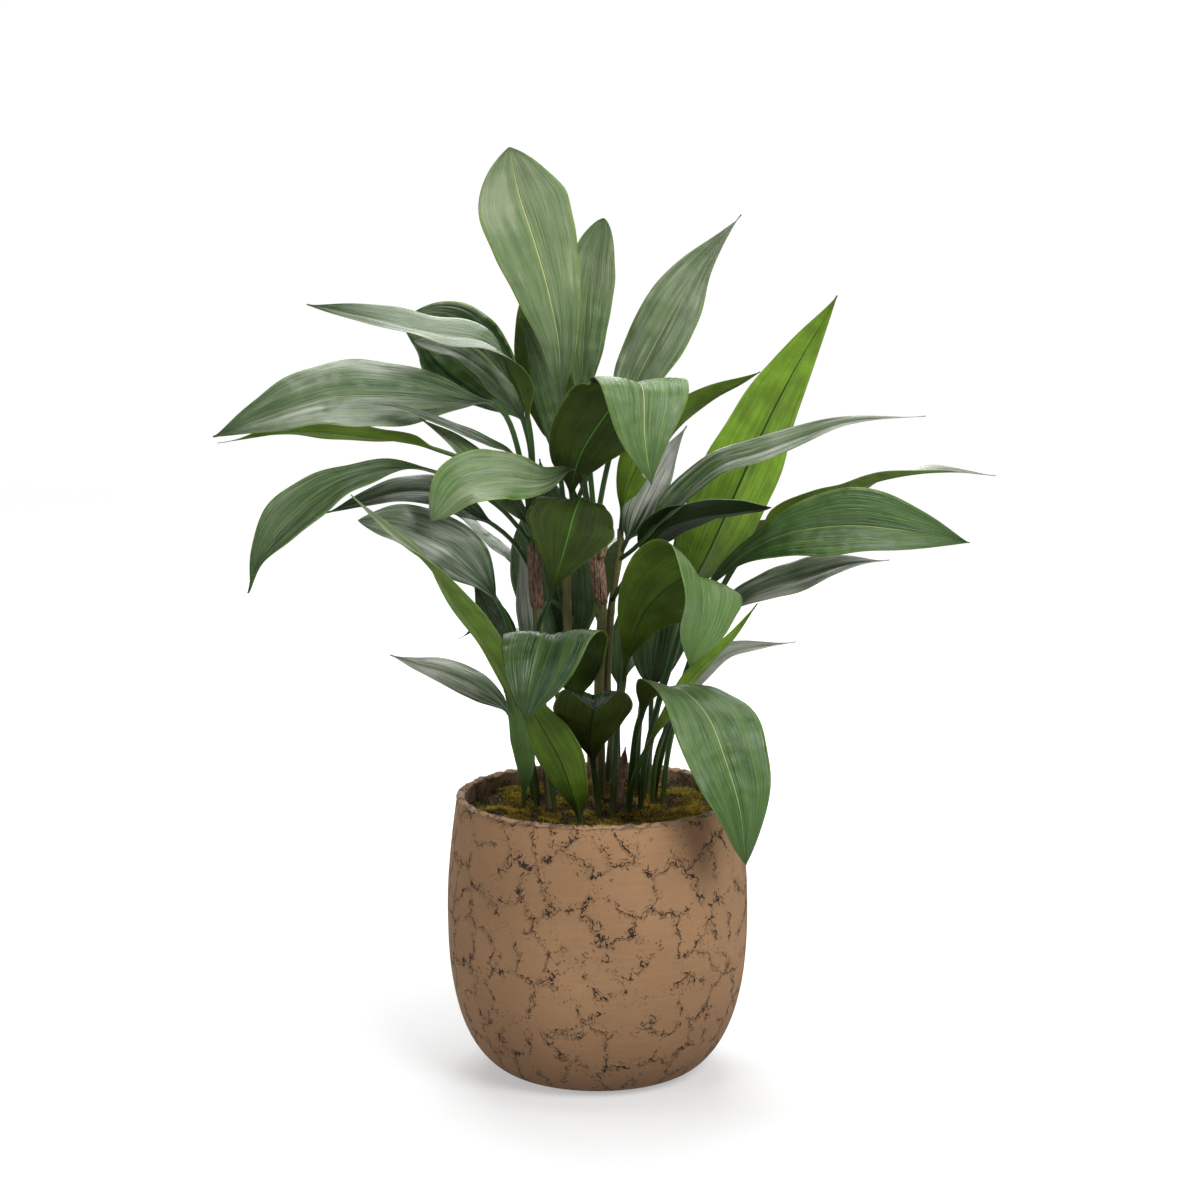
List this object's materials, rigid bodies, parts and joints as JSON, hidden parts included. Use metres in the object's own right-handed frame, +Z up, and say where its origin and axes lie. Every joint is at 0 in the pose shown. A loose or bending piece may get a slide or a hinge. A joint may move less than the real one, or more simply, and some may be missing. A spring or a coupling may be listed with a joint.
{
  "type": "potted cast iron plant",
  "caption": "Bushy house plant with long arching leaves on stalks and slim stems, standing in mossy soil in a rounded ceramic pot.",
  "frame": {"origin": "centre of the pot's flat foot, on the surface it stands on", "axes": "+Z up along the pot's axis, front of the plant towards -Y, +X to the right seen from the front"},
  "size_m": [0.7282, 0.413, 0.8883],
  "materials": {
    "ceramic": "matte, crackled, pitted",
    "soil": "rough, crumbly",
    "moss": "soft, tufted",
    "leaf": "satin, waxy, veined",
    "stem": "satin, ridged",
    "sheath": "dry, fibrous"
  },
  "bodies": {
    "root": {"dry_sheath_a": "sheath", "dry_sheath_b": "sheath", "dry_sheath_c": "sheath", "leaf_back_low_left": "leaf", "leaf_back_low_right": "leaf", "leaf_back_right": "leaf", "leaf_big_front": "leaf", "leaf_bright_front": "leaf", "leaf_centre_fold": "leaf", "leaf_cup_front": "leaf", "leaf_inner_left_up": "leaf", "leaf_inner_right": "leaf", "leaf_inner_small": "leaf", "leaf_left_blade": "leaf", "leaf_left_inner": "leaf", "leaf_left_long": "leaf", "leaf_left_lowest": "leaf", "leaf_low_dark": "leaf", "leaf_low_front": "leaf", "leaf_right_big": "leaf", "leaf_right_far": "leaf", "leaf_right_low": "leaf", "leaf_right_small": "leaf", "leaf_right_stripe": "leaf", "leaf_tall_right": "leaf", "pot": "ceramic", "soil": "soil", "stem_back": "leaf", "stem_left": "leaf", "stem_middle": "leaf", "stem_right": "leaf"}
  },
  "joints": []
}
